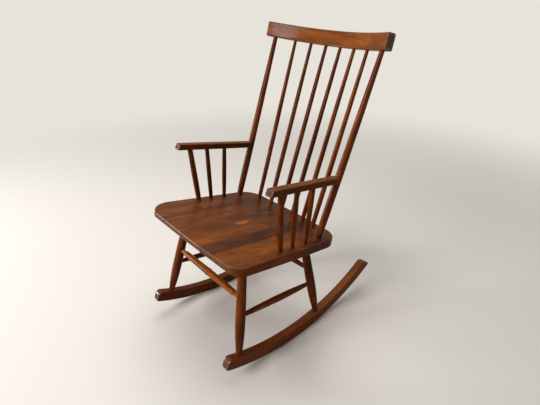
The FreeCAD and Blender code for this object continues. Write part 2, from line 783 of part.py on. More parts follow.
def build_rockers():
    for side, word in side_names.items():
        body = new_body(f"{word}_rocker")
        sketch = new_sketch(body, "arc", "YZ_Plane")
        bottom = size("rockerRadius")
        top = bottom - size("rockerHeight")
        toe, toe_expression = size("rockerFrontReach"), "Sizes.rockerFrontReach"
        if side < 0:
            # The right rocker runs on a little further in front
            toe += size("rockerRightToeExtra")
            toe_expression += " + Sizes.rockerRightToeExtra"
        tail = size("rockerRearReach")
        toe_top, tail_top = toe - size("rockerToeSetBack"), tail - size("rockerTailSetBack")
        down = -math.pi / 2
        top_angles = down - math.asin(toe_top / top), down + math.asin(tail_top / top)
        bottom_angles = down - math.asin(toe / bottom), down + math.asin(tail / bottom)
        bottom_arc, top_arc, _ = arc_band(sketch, top, bottom, top_angles, bottom_angles)
        bind(sketch, Sketcher.Constraint("Radius", bottom_arc, bottom), "Sizes.rockerRadius")
        bind(sketch, Sketcher.Constraint("Radius", top_arc, top), "Sizes.rockerRadius - Sizes.rockerHeight")
        reach_across(sketch, bottom_arc, curve_start, -toe, f"-({toe_expression})")
        reach_across(sketch, top_arc, curve_start, -toe_top, f"-({toe_expression} - Sizes.rockerToeSetBack)")
        reach_across(sketch, bottom_arc, curve_end, tail, "Sizes.rockerRearReach")
        reach_across(sketch, top_arc, curve_end, tail_top, "Sizes.rockerRearReach - Sizes.rockerTailSetBack")
        bar = body.newObject("PartDesign::Pad", f"{word}_rocker_bar")
        bar.Profile = sketch
        bar.SideType = "Symmetric"
        bar.setExpression("Length", "Sizes.rockerWidth")
        body.Tip = bar
        half_width = size("rockerWidth") / 2

        def crosswise(ends, middle, radius):
            across = abs(ends[0].x - ends[1].x) > half_width
            return across and abs(math.hypot(middle.y, middle.z) - radius) < same_place

        round_edges(body, "toe_round", lambda ends, mid: crosswise(ends, mid, top) and mid.y < 0,
                    "Sizes.rockerToeRound")
        round_edges(body, "tail_round", lambda ends, mid: crosswise(ends, mid, top) and mid.y > 0,
                    "Sizes.rockerTailRound")
        round_edges(body, "end_rounds", lambda ends, mid: crosswise(ends, mid, bottom),
                    "Sizes.rockerEndRound")
        round_edges(body, "ease", lambda ends, mid: abs(ends[0].x - ends[1].x) < same_place < abs(mid.x),
                    "Sizes.rockerEase")
        keep_part(body, rocker_home(side))


# Arms: straight bars, raked at the nose, coped round the post and screwed to it from behind

def build_arms():
    for side, word in side_names.items():
        frame, length = arm_frame(side)
        length_expression = keep_length(f"{word}_arm_length", length)
        body = new_body(f"{word}_arm")
        sketch = new_sketch(body, "side", "YZ_Plane")
        lip = size("armLip")
        thick = size("armThick")
        nose_top_expression = f"Sizes.armNoseSetBack - {length_expression}"
        # The nose leans back, so that the arm's underside reaches further than its top
        corners = [
            (-lip, "-Sizes.armLip", 0, "0"),
            (-lip, "-Sizes.armLip", thick, "Sizes.armThick"),
            (size("armNoseSetBack") - length, nose_top_expression, thick, "Sizes.armThick"),
            (-length, f"-{length_expression}", 0, "0"),
        ]
        straight_outline(sketch, corners)
        bar = body.newObject("PartDesign::Pad", f"{word}_arm_bar")
        bar.Profile = sketch
        bar.SideType = "Symmetric"
        bar.setExpression("Length", "Sizes.armWidth")
        body.Tip = bar
        round_edges(body, "ease", lambda ends, mid: True, "Sizes.armEase")
        keep_part(body, frame)
        foot, head = post_line(side)
        cope_mouth = frame.Base - (head - foot).normalize() * size("overrun")
        bore(body, frame, "cope", cope_mouth, head - foot, f"{half('postBelly')} + Sizes.copeGap",
             "Sizes.armThick + 2 * Sizes.overrun")


# Arm screws, their plugs and their holes

def screw_frame(side):
    """On the post's middle line at the arm's mid height, with Z pointing forwards along the arm."""
    frame, length = arm_frame(side)
    foot, head = post_line(side)
    share = (size("armRise") + size("armThick") / 2) / (head.z - foot.z)
    centre = foot + (head - foot) * share
    forwards = frame.Rotation.multVec(Vector(0, -1, 0))
    return Placement(centre, Rotation(Vector(0, 0, 1), forwards))


def build_screws():
    back = size("postBelly") / 2
    plug_depth = size("plugLength")
    head_radius = size("screwHead") / 2
    shank_radius = size("screwShank") / 2
    head_start = f"Sizes.plugLength - {half('postBelly')} + Sizes.socketSpare"
    head_start_value = plug_depth - back + size("socketSpare")
    head_end = f"{head_start} + Sizes.screwHeadThick"
    head_end_value = head_start_value + size("screwHeadThick")
    for side, word in side_names.items():
        home = screw_frame(side)
        screw = turned_body(f"{word}_arm_screw", [
            (head_start_value, head_start, head_radius, half("screwHead"), "line"),
            (head_end_value, head_end, shank_radius, half("screwShank"), "line"),
            (size("screwBite"), "Sizes.screwBite", shank_radius, half("screwShank"), "line"),
        ])
        keep_part(screw, home)
        plug = turned_body(f"{word}_arm_plug", [
            (-back, f"-{half('postBelly')}", head_radius, half("screwHead"), "line"),
            (plug_depth - back, f"Sizes.plugLength - {half('postBelly')}", head_radius, half("screwHead"), "line"),
        ])
        keep_part(plug, home)
        post = parts[f"{word}_back_post"]
        forwards = home.Rotation.multVec(Vector(0, 0, 1))
        rear_mouth = home.multVec(Vector(0, 0, -back))
        bore(post, homes[post.Label], "plug_hole", rear_mouth, forwards,
             f"{half('screwHead')} + Sizes.screwGap",
             "Sizes.plugLength + Sizes.socketSpare + Sizes.screwHeadThick + Sizes.screwGap")
        bore(post, homes[post.Label], "screw_hole", home.Base, forwards,
             f"{half('screwShank')} + Sizes.screwGap", "Sizes.postBelly")
        arm = parts[f"{word}_arm"]
        bore(arm, homes[arm.Label], "screw_pilot", home.Base, forwards,
             f"{half('screwShank')} + Sizes.screwGap", "Sizes.screwBite + Sizes.screwGap")


# Putting it together

build_back_sticks()
build_arm_spindles()
build_legs()
build_stretchers()
build_seat()
build_rail()
build_rockers()
build_arms()
build_screws()
drill_legs()
for owner in sockets:
    drill_sockets(owner)
doc.recompute()


def centre_of_mass():
    """The chair's centre of mass on the bench, with steel counted heavier than wood."""
    moment = Vector(0, 0, 0)
    total = 0
    for label, body in parts.items():
        weight = body.Shape.Volume * (steel_to_wood_density_share if label.endswith("screw") else 1)
        local = body.Placement.inverse().multVec(body.Shape.Solids[0].CenterOfMass)
        moment += homes[label].multVec(local) * weight
        total += weight
    return moment / total


balance = centre_of_mass()
arc_centre = rocker_home(1).Base
rest_tilt = math.degrees(math.atan2(balance.y - arc_centre.y, arc_centre.z - balance.z))
tip = Rotation(Vector(1, 0, 0), -rest_tilt)
pivot = Vector(0, arc_centre.y, arc_centre.z)
rest = Placement(Vector(0, 0, size("rockerRadius")) - tip.multVec(pivot), tip)

lengthwise = []
for label, body in parts.items():
    body.Placement = rest.multiply(homes[label])
    box = body.Shape.optimalBoundingBox(False, False)
    lengthwise += [box.YMin, box.YMax]
centring = Vector(0, -(min(lengthwise) + max(lengthwise)) / 2, 0)
for body in parts.values():
    body.Placement = Placement(centring, Rotation()).multiply(body.Placement)
doc.recompute()

failed = [item.Name for item in doc.Objects if "Invalid" in item.State or "Error" in item.State]
if failed:
    raise RuntimeError(f"these objects failed: {failed}")
for label, body in parts.items():
    if body.Shape.isNull() or not body.Shape.isValid() or len(body.Shape.Solids) != 1:
        raise RuntimeError(f"{label} is not one valid solid")

os.makedirs("parts", exist_ok=True)
for label, body in parts.items():
    body.Shape.exportStep(os.path.join("parts", f"{label}.step"))
print(f"rest tilt {rest_tilt:.2f} degrees, {len(parts)} parts")
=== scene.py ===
import json
import math

import bpy
import numpy as np
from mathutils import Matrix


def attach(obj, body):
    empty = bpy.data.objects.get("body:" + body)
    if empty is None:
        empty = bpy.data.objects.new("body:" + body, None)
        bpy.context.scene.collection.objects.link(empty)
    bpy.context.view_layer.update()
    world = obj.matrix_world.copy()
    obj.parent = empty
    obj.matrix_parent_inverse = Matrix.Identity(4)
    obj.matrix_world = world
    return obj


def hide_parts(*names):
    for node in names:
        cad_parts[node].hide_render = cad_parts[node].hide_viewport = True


# A rod-back rocking chair in dark cherry stain: every stick, plank and bar that shows is a fine surface
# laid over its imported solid, with its own grain, and the screws and plugs keep their solids.
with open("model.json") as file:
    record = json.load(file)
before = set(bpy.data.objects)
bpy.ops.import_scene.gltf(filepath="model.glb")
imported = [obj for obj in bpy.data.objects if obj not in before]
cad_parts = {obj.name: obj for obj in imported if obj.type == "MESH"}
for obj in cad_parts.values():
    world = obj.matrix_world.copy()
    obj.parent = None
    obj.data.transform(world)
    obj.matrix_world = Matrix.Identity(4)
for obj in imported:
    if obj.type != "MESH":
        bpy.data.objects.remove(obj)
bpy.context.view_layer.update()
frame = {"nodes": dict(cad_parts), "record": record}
print("frame loaded:", len(frame["nodes"]), "nodes")

sides = {"right": -1.0, "left": 1.0}
mounts = {mount["name"]: mount for mount in frame["record"]["mounts"]}


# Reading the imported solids

def nodePoints(name):
    # all the corners of a solid as rows of x, y, z
    mesh = frame["nodes"][name].data
    flat = np.empty(len(mesh.vertices) * 3)
    mesh.vertices.foreach_get("co", flat)
    return flat.reshape(-1, 3)


def unit(vector):
    return vector / np.linalg.norm(vector)


def midway(values):
    return (values.min() + values.max()) / 2


def acrossAndUp(axis):
    # two directions square to an axis and to each other, the first of them level
    level = unit(np.cross(axis, (0.0, 0.0, 1.0)))
    return level, np.cross(level, axis)


# The chair stands tipped back: seatUp is square to the seat, seatBack runs along it to the rear
seatUp = unit(np.array(mounts["left_arm_top"]["axis"]))
seatBack = np.array([0.0, seatUp[2], -seatUp[1]])
across = np.array([1.0, 0.0, 0.0])
floorContact = np.array(mounts["floor_contact"]["pos_m"])


def toBench(points):
    # coordinates across the chair, along the seat and square to it
    return points @ np.stack([across, seatBack, seatUp], axis=1)


def fromBench(x, y, z):
    return x[..., None] * across + y[..., None] * seatBack + z[..., None] * seatUp


# Meshes: rings of points carried along a piece, closed round and shut at both ends

grainRandom = np.random.default_rng(11)
grainSpread = 3.0   # metres of wood, either way, from which each piece's stretch of grain is drawn
# the share of its wood's varnish that a piece has left, where it isn't 1
namedPolish = {"left_arm": 0.5, "right_arm": 0.5, "crest_rail": 1.2}
# pieces made darker, below 0.5, or paler, above it: partly their wood's own tone and partly painted light
# and shade, paler where a piece stands in brighter light and darker where it stands in shade; the tones of
# the others are drawn at random
namedTonesAndLight = {
    "front_stretcher": 1.35, "left_side_stretcher": 1.5, "left_rocker": 2.1, "right_rocker": 0.6,
    "rear_left_leg": -0.2, "right_back_post": -0.4, "left_back_post": 0.3,
    "back_spindle_1": -0.4, "back_spindle_2": -0.5, "back_spindle_3": -0.7,
    "back_spindle_4": -0.7, "back_spindle_5": -0.1, "back_spindle_6": 0.2,
    "right_arm": -1.2, "right_arm_spindle_1": -0.5, "right_arm_spindle_2": -1.1, "right_arm_spindle_3": -1.1,
}


def ringMesh(name, rings, grain, edge, endGrain, slot, replaced):
    # Quads join each ring to the next, counterclockwise about the way they travel, and a fan from the mean
    # of the first and of the last ring shuts the ends. Grain, edge and endGrain ride on the same points.
    count, around = rings.shape[:2]
    points = np.concatenate([rings.reshape(-1, 3), rings[[0, -1]].mean(axis=1)])
    ringStart = np.arange(count - 1)[:, None] * around
    this = np.arange(around)
    after = (this + 1) % around
    nextStart = ringStart + around
    quads = np.stack([ringStart + this, ringStart + after, nextStart + after, nextStart + this],
                     axis=-1).reshape(-1, 4)
    firstPole, lastPole, lastRing = count * around, count * around + 1, (count - 1) * around
    fans = np.concatenate([
        np.stack([np.full(around, firstPole), after, this], axis=-1),
        np.stack([np.full(around, lastPole), lastRing + this, lastRing + after], axis=-1)])
    corners = np.concatenate([quads.ravel(), fans.ravel()])
    sizes = np.concatenate([np.full(len(quads), 4), np.full(len(fans), 3)])
    mesh = bpy.data.meshes.new(name)
    mesh.vertices.add(len(points))
    mesh.vertices.foreach_set("co", points.ravel())
    mesh.loops.add(len(corners))
    mesh.loops.foreach_set("vertex_index", corners)
    mesh.polygons.add(len(sizes))
    mesh.polygons.foreach_set("loop_start", np.concatenate([[0], np.cumsum(sizes)[:-1]]))
    mesh.update(calc_edges=True)
    mesh.shade_smooth()
    addVectors(mesh, "grain", withPoles(grain) + grainRandom.uniform(-grainSpread, grainSpread, 3))
    addNumbers(mesh, "edge", withPoles(edge[..., None])[:, 0])
    addNumbers(mesh, "endGrain", withPoles(endGrain[..., None])[:, 0])
    tone = grainRandom.uniform(0.0, 1.0)
    # a named tone also carries painted light or shade for that piece
    addNumbers(mesh, "tone", np.full(len(points), namedTonesAndLight.get(replaced, tone)))
    addNumbers(mesh, "polish", np.full(len(points), namedPolish.get(replaced, 1.0)))
    piece = bpy.data.objects.new(name, mesh)
    bpy.context.scene.collection.objects.link(piece)
    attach(piece, "root")
    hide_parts(replaced)
    piece.data.materials.append(woods[slot])
    return piece


def withPoles(values):
    return np.concatenate([values.reshape(-1, values.shape[-1]), values[[0, -1]].mean(axis=1)])


def addNumbers(mesh, name, values):
    mesh.attributes.new(name, "FLOAT", "POINT").data.foreach_set("value", values)


def addVectors(mesh, name, vectors):
    mesh.attributes.new(name, "FLOAT_VECTOR", "POINT").data.foreach_set("vector", vectors.ravel())


# Shader parts: small helpers, then node groups that several woods share

def feed(node, values):
    # values are numbers, colours or the output sockets of other nodes, by an input's name or place
    for key, value in values.items():
        if isinstance(value, bpy.types.NodeSocket):
            node.id_data.links.new(value, node.inputs[key])
        else:
            node.inputs[key].default_value = value


def addNode(tree, kind, inputs, **settings):
    node = tree.nodes.new(kind)
    for key, value in settings.items():
        setattr(node, key, value)
    feed(node, inputs)
    return node


def calc(tree, operation, first, second=0.0, third=0.0, clamp=False):
    inputs = {0: first, 1: second, 2: third}
    return addNode(tree, "ShaderNodeMath", inputs, operation=operation, use_clamp=clamp).outputs[0]


def vectorCalc(tree, operation, *inputs):
    node = addNode(tree, "ShaderNodeVectorMath", dict(enumerate(inputs)), operation=operation)
    return node.outputs["Value" if operation == "LENGTH" else "Vector"]


def noise(tree, vector, scales, detail, roughness=0.5, distortion=0.0):
    # the scales say how many spots of noise there are to a metre, one for each coordinate of the vector
    return addNode(tree, "ShaderNodeTexNoise",
                   {"Vector": vectorCalc(tree, "MULTIPLY", vector, scales), "Scale": 1.0,
                    "Detail": detail, "Roughness": roughness, "Distortion": distortion}).outputs


def blend(tree, share, first, second):
    # the node's colours are its seventh and eighth sockets and its third output
    return addNode(tree, "ShaderNodeMix", {"Factor": share, 6: first, 7: second}, data_type="RGBA",
                   clamp_factor=True).outputs[2]


def ramp(tree, value, low, high):
    # 0 below low, 1 above high, smooth between them
    return addNode(tree, "ShaderNodeMapRange", {"Value": value, "From Min": low, "From Max": high},
                   interpolation_type="SMOOTHSTEP").outputs[0]


def newGroup(name, inputs, outputs):
    group = bpy.data.node_groups.new(name, "ShaderNodeTree")
    for way, sockets in (("INPUT", inputs), ("OUTPUT", outputs)):
        for socketName, kind in sockets.items():
            group.interface.new_socket(name=socketName, in_out=way, socket_type="NodeSocket" + kind)
    return group, group.nodes.new("NodeGroupInput").outputs, group.nodes.new("NodeGroupOutput")


grainLook = {
    # each noise: its scales, then its detail, roughness and distortion
    "figure": ((7.0, 7.0, 0.9), 3.0, 0.55),   # the slow wander of the growth rings
    "blotch": ((28.0, 28.0, 8.0), 4.0, 0.6, 0.4),
    "fibre": ((900.0, 900.0, 14.0), 3.0, 0.6),
    "pore": ((1500.0, 1500.0, 55.0), 1.0),
    "poreRamp": (0.60, 0.72),
    "poreShare": 0.55,
    "poreColour": (0.012, 0.004, 0.002, 1.0),
    "ringsPerMetre": 260.0,
    "ringWander": 0.030,                      # metres
    "ringPower": 2.2,                         # narrows the pale part of each ring
    "ringMean": 0.4,
    "endShare": 0.75,                         # end grain has drunk more stain, and carries a painted sheen
    # the end grain's own darker brown, greyed towards mauve as a painted sheen of the varnish
    "endStainAndSheen": (0.095, 0.052, 0.040, 1.0),
    "fibreHeight": 0.35,
    "fibreRoughness": 0.10,
    "poreRoughness": 0.22,
}


def makeGrainGroup():
    # Stained wood in the piece's own space, with the grain along its third coordinate: growth rings are a
    # sine of the distance from a far pith, bent by slow noise; blotches, fibres and pores are stretched
    # noise. Their sum with the tone is a level, and the stain runs from deep at 0 to bright at 1.
    inputs = {"Grain": "Vector", "Tone": "Float", "End Grain": "Float", "Deep": "Color", "Middle": "Color",
              "Bright": "Color", "Figure": "Float", "Blotch": "Float", "Fibre": "Float"}
    outputs = {"Color": "Color", "Height": "Float", "Roughness": "Float"}
    group, given, outlet = newGroup("stainedGrain", inputs, outputs)
    wander = noise(group, given["Grain"], *grainLook["figure"])["Color"]
    shift = vectorCalc(group, "MULTIPLY_ADD", wander, (grainLook["ringWander"],) * 3, given["Grain"])
    pith = vectorCalc(group, "LENGTH", vectorCalc(group, "MULTIPLY", shift, (1.0, 1.0, 0.0)))
    turns = calc(group, "MULTIPLY", pith, grainLook["ringsPerMetre"] * 2 * math.pi)
    rings = calc(group, "MULTIPLY_ADD", calc(group, "SINE", turns), 0.5, 0.5)
    pale = calc(group, "POWER", rings, grainLook["ringPower"])
    blotch, fibre, pore = (noise(group, given["Grain"], *grainLook[kind])["Fac"]
                           for kind in ("blotch", "fibre", "pore"))
    pores = ramp(group, pore, *grainLook["poreRamp"])
    level = given["Tone"]
    for value, mean, amount in ((pale, grainLook["ringMean"], "Figure"), (blotch, 0.5, "Blotch"),
                                (fibre, 0.5, "Fibre")):
        level = calc(group, "MULTIPLY_ADD", calc(group, "SUBTRACT", value, mean), given[amount], level)
    lower = blend(group, calc(group, "MULTIPLY", level, 2.0, clamp=True), given["Deep"], given["Middle"])
    upper = calc(group, "MULTIPLY_ADD", level, 2.0, -1.0, clamp=True)
    colour = blend(group, upper, lower, given["Bright"])
    # end faces blend towards a darker brown that is greyed as a painted sheen
    endStainAndSheenShare = calc(group, "MULTIPLY", given["End Grain"], grainLook["endShare"])
    colour = blend(group, endStainAndSheenShare, colour, grainLook["endStainAndSheen"])
    poreDark = calc(group, "MULTIPLY", pores, grainLook["poreShare"])
    colour = blend(group, poreDark, colour, grainLook["poreColour"])
    height = calc(group, "SUBTRACT", calc(group, "MULTIPLY", fibre, grainLook["fibreHeight"]), pores)
    roughness = calc(group, "MULTIPLY_ADD", fibre, grainLook["fibreRoughness"],
                     calc(group, "MULTIPLY", pores, grainLook["poreRoughness"]))
    feed(outlet, {"Color": colour, "Height": height, "Roughness": roughness})
    return group


wearLook = {
    "patches": ((60.0, 60.0, 22.0), 4.0, 0.65),
    "ramp": (0.85, 1.25),   # sums of edge and noise at which the stain starts to go and is gone
    "colour": (0.36, 0.105, 0.022, 1.0),
    "roughness": 0.08,
}


def makeWearGroup():
    # Rubbed arrises: the edge attribute broken up by noise lets a paler, oranger wood show
    inputs = {"Color": "Color", "Grain": "Vector", "Edge": "Float", "Amount": "Float"}
    group, given, outlet = newGroup("rubbedEdges", inputs, {"Color": "Color", "Mask": "Float"})
    patches = noise(group, given["Grain"], *wearLook["patches"])["Fac"]
    strength = calc(group, "MULTIPLY", given["Edge"], given["Amount"])
    mask = ramp(group, calc(group, "ADD", strength, patches), *wearLook["ramp"])
    rubbed = blend(group, mask, given["Color"], wearLook["colour"])
    feed(outlet, {"Color": rubbed, "Mask": mask})
    return group


staves = {
    "firstTone": 0.50,
    # where each stave starts, in metres from the middle of the seat, and its tone from 0, dark, to 1, pale
    "edges": ((-0.145, 0.32), (-0.127, 0.50), (-0.048, 0.42), (0.018, 0.52), (0.0965, 0.20), (0.152, 0.56)),
    "glueLine": 0.0008,
    "glueDark": 0.6,
    "glueDepth": 1.5,
    "grainShift": 1.7,               # metres of wood between one stave's grain and the next one's
    "rear": (0.20, 0.44),            # metres back from the front edge over which painted shade darkens the seat
    "rearShadeTone": -0.24,
    # metres back from the front edge over which painted light warms the seat, and how much it adds
    "front": (0.02, 0.14),
    "frontLitTone": 0.12,
    "patch": (0.0155, 0.233, 0.0),   # middle of the bare patch, and how far it reaches across and along
    "patchReach": (0.010, 0.031),
    "patchRim": (0.8, 1.1),          # shares of its reach between which it fades out
    "patchShare": 0.9,
    "patchColour": (0.46, 0.135, 0.016, 1.0),
    "frayNoise": ((480.0, 32.0, 0.0), 2.0),
    "fray": 2.6,
    "topSkin": (-0.004, -0.001),     # heights over which the patch begins, so that it is on top alone
}


def makeBoardGroup():
    # Glued staves: each stave past an edge adds its own tone, and a fine dark line runs down each glue
    # joint.
    # Painted shade darkens the whole towards the rear and painted light warms it towards the front, and one
    # frayed patch has lost its stain: an oval whose distance from its middle is shaken by noise drawn out
    # along the grain.
    inputs = {"Place": "Vector", "Grain": "Vector"}
    outputs = {"Grain": "Vector", "Tone": "Float", "Line": "Float", "Patch": "Float"}
    group, given, outlet = newGroup("gluedBoards", inputs, outputs)
    place = addNode(group, "ShaderNodeSeparateXYZ", {0: given["Place"]}).outputs
    tone = before = staves["firstTone"]
    line = shift = 0.0
    for edgeX, staveTone in staves["edges"]:
        past = calc(group, "GREATER_THAN", place[0], edgeX)
        tone = calc(group, "MULTIPLY_ADD", past, staveTone - before, tone)
        shift = calc(group, "MULTIPLY_ADD", past, staves["grainShift"], shift)
        away = calc(group, "ABSOLUTE", calc(group, "SUBTRACT", place[0], edgeX))
        near = calc(group, "SUBTRACT", 1.0, ramp(group, away, staves["glueLine"] / 2, staves["glueLine"]))
        line = calc(group, "MAXIMUM", line, near)
        before = staveTone
    # painted shade towards the rear of the seat, painted light along its front
    paintedRearShade = ramp(group, place[1], *staves["rear"])
    paintedFrontLight = calc(group, "SUBTRACT", 1.0, ramp(group, place[1], *staves["front"]))
    tone = calc(group, "MULTIPLY_ADD", paintedRearShade, staves["rearShadeTone"], tone)
    tone = calc(group, "MULTIPLY_ADD", paintedFrontLight, staves["frontLitTone"], tone)
    offset = vectorCalc(group, "SUBTRACT", given["Place"], staves["patch"])
    reach = tuple(1 / value for value in staves["patchReach"]) + (0.0,)
    away = vectorCalc(group, "LENGTH", vectorCalc(group, "MULTIPLY", offset, reach))
    fray = noise(group, given["Place"], *staves["frayNoise"])["Fac"]
    frayed = calc(group, "MULTIPLY_ADD", calc(group, "SUBTRACT", fray, 0.5), staves["fray"], away)
    onTop = ramp(group, place[2], *staves["topSkin"])
    bare = calc(group, "SUBTRACT", 1.0, ramp(group, frayed, *staves["patchRim"]))
    moved = addNode(group, "ShaderNodeCombineXYZ", {0: shift, 1: shift, 2: shift}).outputs[0]
    grain = vectorCalc(group, "ADD", given["Grain"], moved)
    feed(outlet, {"Grain": grain, "Tone": tone, "Line": line, "Patch": calc(group, "MULTIPLY", bare, onTop)})
    return group


def addGroup(tree, group, inputs):
    return addNode(tree, "ShaderNodeGroup", inputs, node_tree=group).outputs


grainGroup = makeGrainGroup()
wearGroup = makeWearGroup()

woodLooks = {
    "turned_wood": {
        "stain": {"Deep": (0.022, 0.0026, 0.0003, 1.0), "Middle": (0.170, 0.034, 0.0024, 1.0),
                  "Bright": (0.480, 0.138, 0.012, 1.0), "Figure": 0.24, "Blotch": 1.2, "Fibre": 0.70},
        "toneSpread": 0.16, "wear": 0.75, "coat": 0.17, "coatRoughness": 0.20},
    "bar_wood": {
        "stain": {"Deep": (0.050, 0.009, 0.0016, 1.0), "Middle": (0.175, 0.046, 0.0085, 1.0),
                  "Bright": (0.390, 0.122, 0.021, 1.0), "Figure": 0.14, "Blotch": 1.0, "Fibre": 0.36},
        "toneSpread": 0.08, "wear": 0.46, "coat": 0.15, "coatRoughness": 0.18},
    "rocker_wood": {
        "stain": {"Deep": (0.036, 0.006, 0.0008, 1.0), "Middle": (0.165, 0.038, 0.0042, 1.0),
                  "Bright": (0.340, 0.095, 0.013, 1.0), "Figure": 0.16, "Blotch": 0.9, "Fibre": 0.40},
        "toneSpread": 0.13, "wear": 0.54, "coat": 0.13, "coatRoughness": 0.18},
    # the seat's tones are its staves'
    "seat_wood": {
        "stain": {"Deep": (0.042, 0.013, 0.0050, 1.0), "Middle": (0.165, 0.043, 0.0090, 1.0),
                  "Bright": (0.400, 0.118, 0.015, 1.0), "Figure": 0.10, "Blotch": 1.25, "Fibre": 0.22},
        "wear": 0.50, "coat": 0.11, "coatRoughness": 0.30},
}
varnish = {"roughness": 0.40, "gloss": 0.04, "glossTint": (1.0, 0.40, 0.12, 1.0),
           "bumpDistance": 0.00025, "bump": 0.20, "edgeCoat": 0.12, "endCoat": 1.1}


def attribute(tree, name, output="Fac"):
    return addNode(tree, "ShaderNodeAttribute", {}, attribute_name=name).outputs[output]


def objectPlace(tree):
    return addNode(tree, "ShaderNodeTexCoord", {}).outputs["Object"]


def newMaterial(name):
    material = bpy.data.materials.new(name)
    material.use_nodes = True
    return material, material.node_tree, material.node_tree.nodes["Principled BSDF"]


def makeWood(slot, look):
    material, tree, shader = newMaterial(slot)
    grain = attribute(tree, "grain", "Vector")
    endGrain = attribute(tree, "endGrain")
    if slot == "seat_wood":
        place = attribute(tree, "place", "Vector")
        boards = addGroup(tree, makeBoardGroup(), {"Place": place, "Grain": grain})
        grain, tone = boards["Grain"], boards["Tone"]
    else:
        boards = None
        apart = calc(tree, "SUBTRACT", attribute(tree, "tone"), 0.5)
        tone = calc(tree, "MULTIPLY_ADD", apart, look["toneSpread"], 0.5)
    wood = addGroup(tree, grainGroup, {"Grain": grain, "Tone": tone, "End Grain": endGrain, **look["stain"]})
    handled = calc(tree, "MULTIPLY", look["wear"], calc(tree, "SUBTRACT", 1.0, endGrain))
    worn = addGroup(tree, wearGroup, {"Color": wood["Color"], "Grain": grain,
                                      "Edge": attribute(tree, "edge"), "Amount": handled})
    colour, height = worn["Color"], wood["Height"]
    if boards:
        glued = calc(tree, "MULTIPLY", boards["Line"], staves["glueDark"])
        colour = blend(tree, glued, colour, look["stain"]["Deep"])
        bare = calc(tree, "MULTIPLY", boards["Patch"], staves["patchShare"])
        colour = blend(tree, bare, colour, staves["patchColour"])
        height = calc(tree, "MULTIPLY_ADD", boards["Line"], -staves["glueDepth"], height)
    roughness = calc(tree, "ADD", wood["Roughness"], varnish["roughness"])
    roughness = calc(tree, "MULTIPLY_ADD", worn["Mask"], wearLook["roughness"], roughness)
    bump = addNode(tree, "ShaderNodeBump", {"Strength": varnish["bump"], "Distance": varnish["bumpDistance"],
                                            "Height": height})
    feed(shader, {"Base Color": colour, "Roughness": roughness, "Normal": bump.outputs["Normal"]})
    setVarnish(shader, look)
    return material


def setVarnish(shader, look):
    # A thin clear coat over a stained one whose own shine is amber. It is thicker on the arrises, which
    # hands have polished, and thickest round the end faces, where it has run and gathered.
    tree = shader.id_data
    gathered = calc(tree, "MULTIPLY_ADD", attribute(tree, "endGrain"), varnish["endCoat"],
                    varnish["edgeCoat"])
    even = calc(tree, "MULTIPLY", attribute(tree, "polish"), look["coat"])
    coat = calc(tree, "MULTIPLY_ADD", attribute(tree, "edge"), gathered, even, clamp=True)
    feed(shader, {"Specular IOR Level": varnish["gloss"], "Specular Tint": varnish["glossTint"],
                  "Coat Weight": coat, "Coat Roughness": look["coatRoughness"]})


woods = {slot: makeWood(slot, look) for slot, look in woodLooks.items()}
print("woods mixed:", ", ".join(woods))


# Turned sticks

def readStick(name):
    # a turned piece's end middles: the middles of its flat end discs, found again as the axis settles
    points = nodePoints(name)
    axis = np.linalg.svd(points - points.mean(0), full_matrices=False)[2][0]
    if axis[2] < 0 or (abs(axis[2]) < abs(axis[0]) and axis[0] < 0):
        axis = -axis
    for _ in range(turning["passes"]):
        ways = acrossAndUp(axis)
        along = points @ axis
        middles = []
        for level, disc in ((along.min(), along < along.min() + turning["endSlice"]),
                            (along.max(), along > along.max() - turning["endSlice"])):
            rim = points[disc]
            middle = axis * level
            for way in ways:
                middle = middle + way * midway(rim @ way)
            middles.append(middle)
        axis = unit(middles[1] - middles[0])
    return middles[0], middles[1]


def readRadii(name, foot, head):
    # each corner's height along a stick's middle line and its distance from it
    points = nodePoints(name)
    axis = unit(head - foot)
    height = (points - foot) @ axis
    return height, np.linalg.norm(points - foot - height[:, None] * axis, axis=1)


turning = {
    "passes": 3,
    "endSlice": 0.002,
    "sameRadius": 0.000004,
    "neckShare": 0.25,       # a plain neck ends within this share of the stick's length
    "around": 48,
    "rows": 110,
    "scoredRows": 640,
    "endChamfer": 0.0008,
    "wobble": 0.00012,       # a hand-held gouge never leaves a stick quite true
    "wobbleTurns": 31.0,
    "standing": 0.5,         # sticks that rise at least this much of their length have a worn ring
    "entryRows": 15,
    "entryReach": 0.010,
    "revealHeight": 0.0035,  # where a stick enters the seat its stain has rubbed thin
    # radii of foot, belly and head of the two sticks that carry the arms' fronts
    "stout": dict.fromkeys(("left_arm_spindle_1", "right_arm_spindle_1"), (0.0087, 0.0102, 0.0091)),
    "meanReach": 6,          # rows on either side of a place that its running mean takes in
    "meanSkip": 0.02,        # the plain ends, whose rounding is no relief
    "relief": 0.0003,
}


